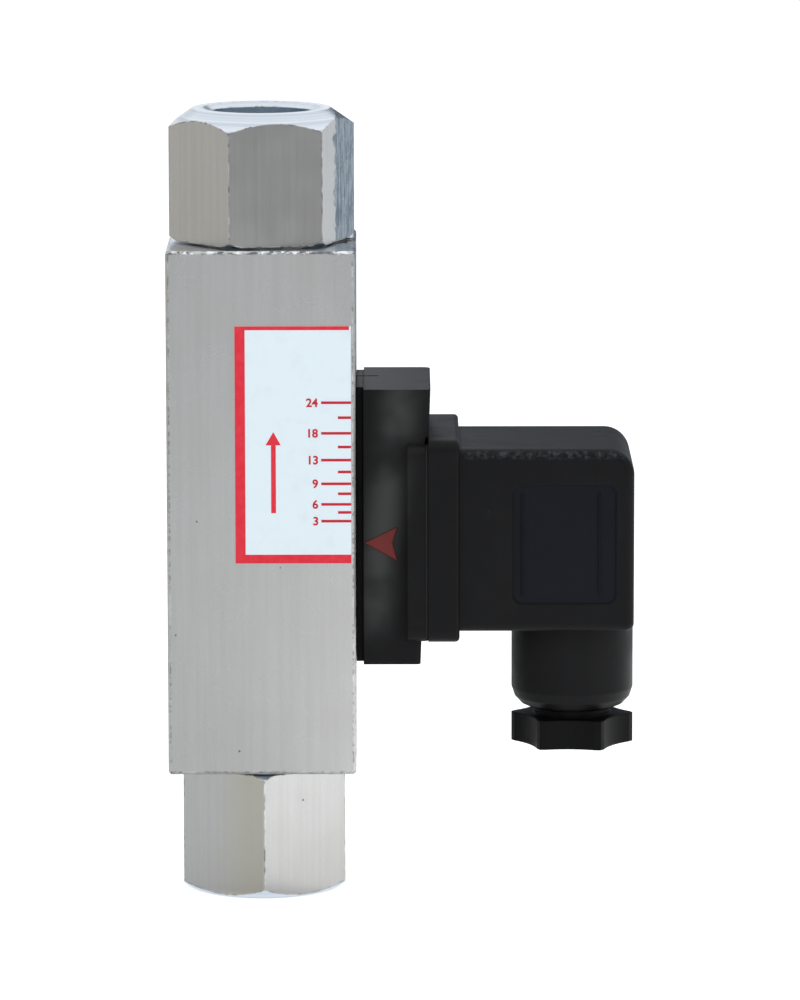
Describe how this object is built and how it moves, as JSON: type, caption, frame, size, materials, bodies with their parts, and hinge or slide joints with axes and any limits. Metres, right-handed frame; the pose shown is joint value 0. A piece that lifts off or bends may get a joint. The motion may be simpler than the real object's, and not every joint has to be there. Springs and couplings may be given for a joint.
{
  "type": "piston flow switch",
  "caption": "In-line piston flow switch: square plated body with hexagonal pipe unions, printed scale and a sliding reed-switch head with a square connector plug.",
  "frame": {"origin": "centre of the inlet union's end face, on the axis of the pipe", "axes": "+Z along the flow, from inlet to outlet; +X towards the switch head and its plug; -Y towards the face that carries the scale"},
  "size_m": [0.0746, 0.0306, 0.1263],
  "materials": {
    "plated_brass": "nickel plated, ground",
    "brass": "machined",
    "label": "printed film",
    "black_plastic": "moulded, fine texture",
    "grey_plastic": "moulded",
    "red_plastic": "moulded",
    "white_plastic": "low friction acetal",
    "seal_rubber": "nitrile",
    "spring_steel": "drawn stainless wire",
    "magnet": "sintered ferrite",
    "zinc_steel": "zinc plated",
    "reed_glass": "clear",
    "contact_metal": "tin plated",
    "wire_insulation": "extruded"
  },
  "bodies": {
    "flow_body": {"body_block": "plated_brass", "inlet_union": "plated_brass", "outlet_union": "plated_brass", "inlet_seal_ring": "seal_rubber", "outlet_seal_ring": "seal_rubber", "nozzle_sleeve": "brass", "spring_bridge": "brass", "scale_label": "label"},
    "piston": {"piston": "white_plastic", "piston_magnet": "magnet", "magnet_retainer": "spring_steel", "return_spring": "spring_steel"},
    "switch_head": {"switch_housing": "black_plastic", "reed_cover": "black_plastic", "pointer_arrow": "red_plastic", "slot_nut": "zinc_steel", "clamp_washer": "zinc_steel", "reed_capsule": "reed_glass", "reed_contacts": "contact_metal", "signal_wire": "wire_insulation", "supply_wire": "wire_insulation", "terminal_base": "grey_plastic", "contact_pins": "contact_metal", "earth_pin": "contact_metal"},
    "clamp_screw": {"clamp_screw": "zinc_steel"},
    "plug": {"plug_housing": "black_plastic", "plug_gasket": "seal_rubber", "terminal_block": "grey_plastic", "terminal_screws": "zinc_steel", "screw_seal": "seal_rubber", "gland_seal": "seal_rubber", "gland_washer": "zinc_steel"},
    "fixing_screw": {"fixing_screw": "zinc_steel"},
    "gland_nut": {"gland_nut": "black_plastic"}
  },
  "joints": [
    {"name": "piston_slide", "type": "slide", "parent": "flow_body", "child": "piston", "axis": [0, 0, 1], "range_m": [0, 0.022], "stiffness_N_per_m": 60, "springref_m": -0.01, "deforming": ["return_spring"]},
    {"name": "head_slide", "type": "slide", "parent": "flow_body", "child": "switch_head", "axis": [0, 0, 1], "range_m": [0, 0.0225]},
    {"name": "clamp_screw_turn", "type": "hinge", "parent": "switch_head", "child": "clamp_screw", "pos_m": [0.0212, 0, 0.078], "axis": [1, 0, 0], "continuous": true},
    {"name": "plug_pull", "type": "slide", "parent": "switch_head", "child": "plug", "axis": [1, 0, 0], "range_m": [0, 0.012]},
    {"name": "fixing_screw_turn", "type": "hinge", "parent": "plug", "child": "fixing_screw", "pos_m": [0.0572, 0, 0.058], "axis": [1, 0, 0], "continuous": true},
    {"name": "gland_nut_turn", "type": "hinge", "parent": "plug", "child": "gland_nut", "pos_m": [0.0498, 0, 0.0266], "axis": [0, 0, 1], "continuous": true}
  ]
}
